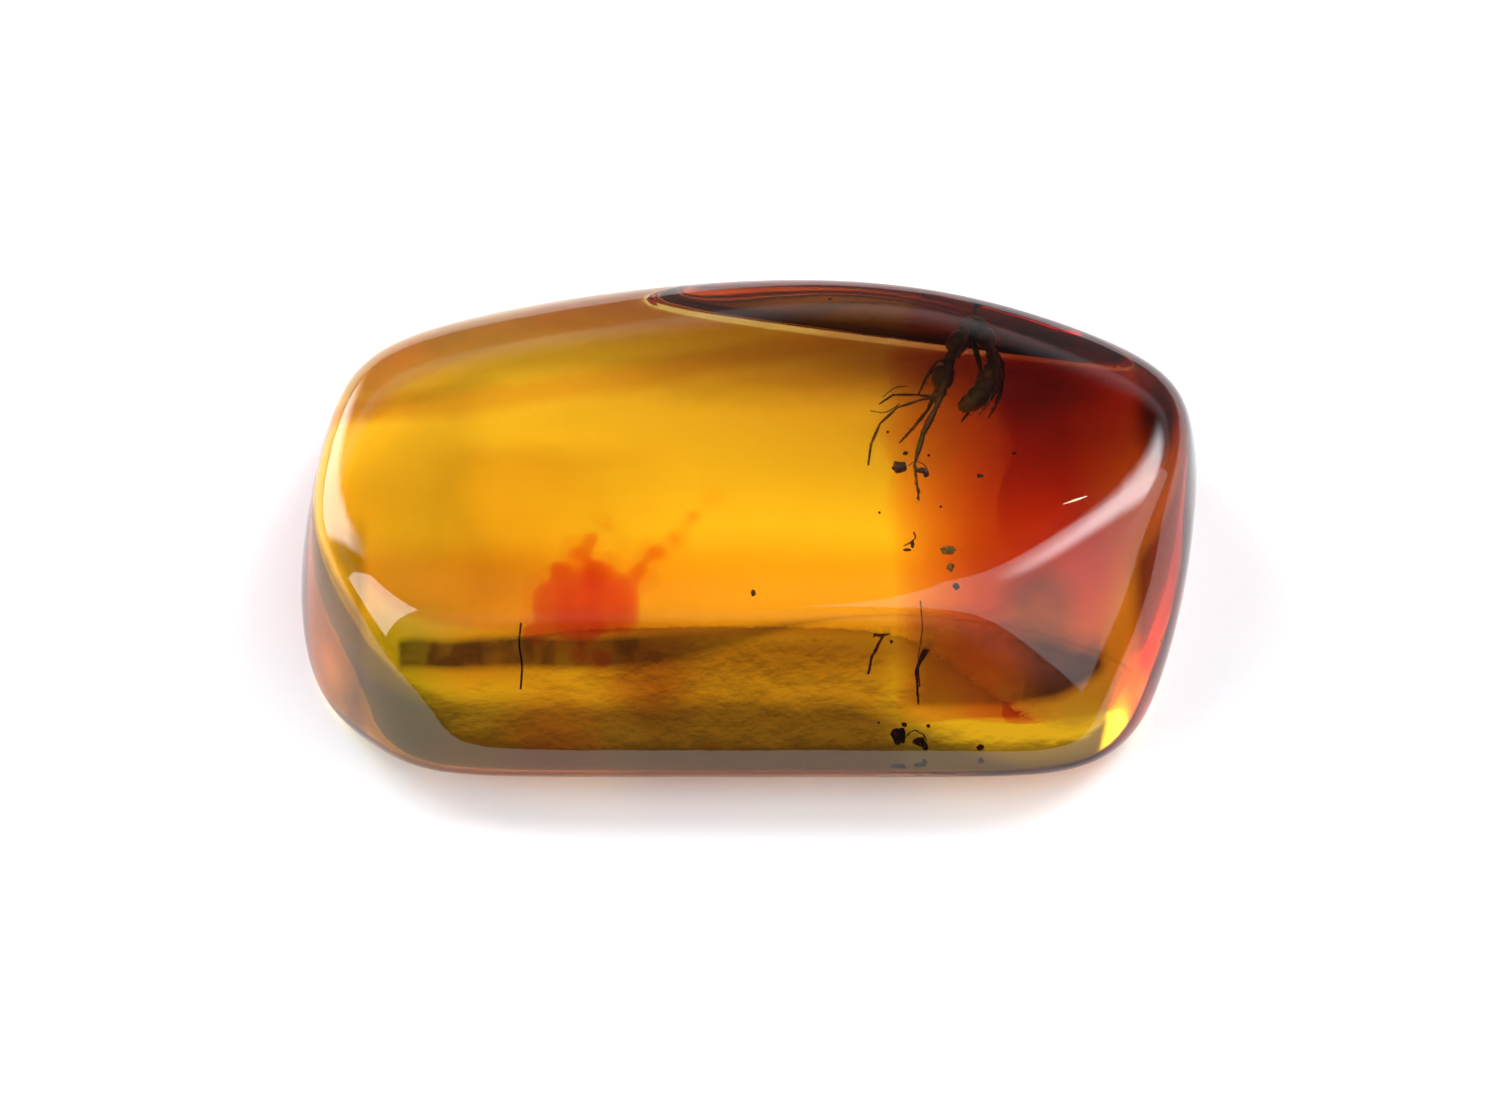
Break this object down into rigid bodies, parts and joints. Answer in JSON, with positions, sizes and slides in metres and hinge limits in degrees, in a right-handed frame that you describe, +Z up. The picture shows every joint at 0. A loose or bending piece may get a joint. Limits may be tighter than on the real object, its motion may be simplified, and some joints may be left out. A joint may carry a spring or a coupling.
{
  "type": "insect in amber",
  "caption": "Polished bar of clear golden and red amber with soft facets and a small dark insect sealed inside; rests on its flat underside.",
  "frame": {"origin": "middle of the bar's footprint, on its flat rest face", "axes": "+X along the bar towards its red end, +Y towards its back, +Z up"},
  "size_m": [0.0182, 0.0112, 0.0045],
  "materials": {
    "amber": "polished clear golden resin with a red end",
    "chitin": "near-black insect shell",
    "flow": "red and orange resin flows inside the bar",
    "debris": "dark grains and fibres sealed in the resin"
  },
  "bodies": {
    "root": {"amber_lower": "amber", "amber_upper": "amber", "insect": "chitin"}
  },
  "joints": []
}
